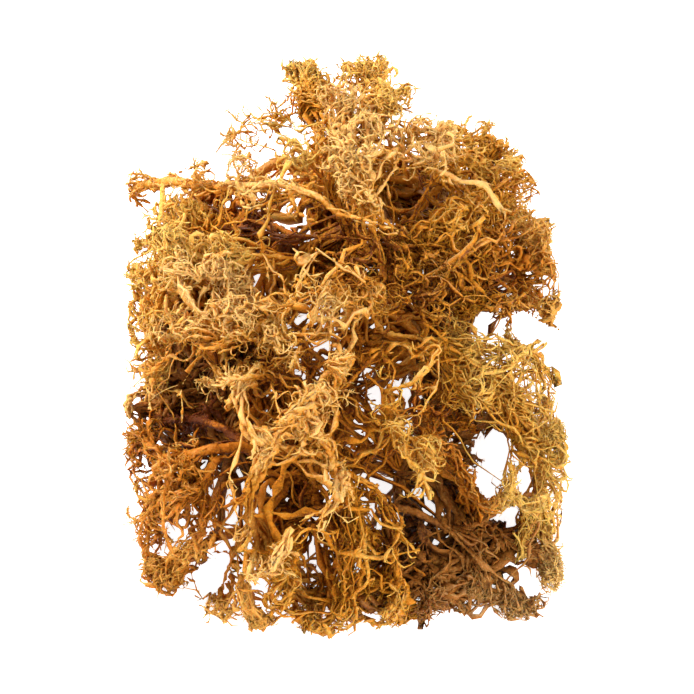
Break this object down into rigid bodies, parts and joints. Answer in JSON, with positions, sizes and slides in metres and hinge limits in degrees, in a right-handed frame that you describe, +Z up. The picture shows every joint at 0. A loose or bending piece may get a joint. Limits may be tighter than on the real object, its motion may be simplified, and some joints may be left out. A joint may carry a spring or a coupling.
{
  "type": "sea moss",
  "caption": "Tangled mound of dried golden sea moss: wiry branching fronds with curled tips, crossing over each other and lying loose on a flat surface.",
  "frame": {"origin": "middle of the clump's footprint, on the flat surface that it lies on", "axes": "+Z up from the surface, +Y along the clump's length from the front foot to the crown, +X to the right across it"},
  "size_m": [0.134, 0.1702, 0.0812],
  "materials": {
    "gold": "dry matt, translucent at thin tips",
    "amber": "dry satin, reddish gold",
    "straw": "dry matt, bleached pale",
    "russet": "dry matt, dark brown"
  },
  "bodies": {
    "root": {"crown_stem": "gold", "crown_fork_right": "gold", "crown_fork_left": "gold", "summit_stem": "straw", "summit_fork_right": "straw", "runner_stem": "straw", "runner_fork_spray": "straw", "upper_right_stem": "gold", "upper_right_fork_top": "gold", "upper_right_fork_side": "gold", "right_shoulder_stem": "amber", "right_shoulder_fork_inner": "amber", "right_shoulder_fork_low": "amber", "left_shoulder_stem": "gold", "left_shoulder_fork_top": "gold", "left_shoulder_fork_edge": "gold", "left_flank_stem": "straw", "left_flank_fork_low": "straw", "saddle_stem": "gold", "saddle_fork_down": "gold", "saddle_fork_up": "gold", "ridge_stem": "straw", "ridge_fork_pale": "straw", "bundle_stem": "straw", "bundle_fork_loop": "straw", "bundle_fork_arch": "straw", "gold_tuft_stem": "gold", "gold_tuft_fork_low": "gold", "left_roll_stem": "amber", "left_roll_fork_roll": "amber", "left_roll_fork_foot": "amber", "left_roll_fork_hollow": "amber", "right_arm_stem": "gold", "right_arm_fork_tip": "gold", "right_arm_fork_drop": "gold", "orange_tuft_stem": "amber", "orange_tuft_fork_net": "amber", "front_curl_stem": "gold", "front_curl_fork_right": "gold", "front_curl_fork_left": "gold", "front_foot_stem": "amber", "front_foot_fork_left": "amber", "lower_right_stem": "russet", "lower_right_fork_front": "russet", "lower_right_fork_side": "russet", "right_edge_stem": "straw", "back_left_stem": "amber", "back_left_fork_side": "amber", "back_middle_stem": "gold", "back_middle_fork_right": "gold", "back_right_stem": "russet", "back_right_fork_side": "russet", "under_left_stem": "russet", "under_left_fork_inner": "russet", "under_right_stem": "russet", "under_right_fork_inner": "russet", "under_middle_stem": "amber", "under_middle_fork_left": "amber"}
  },
  "joints": []
}
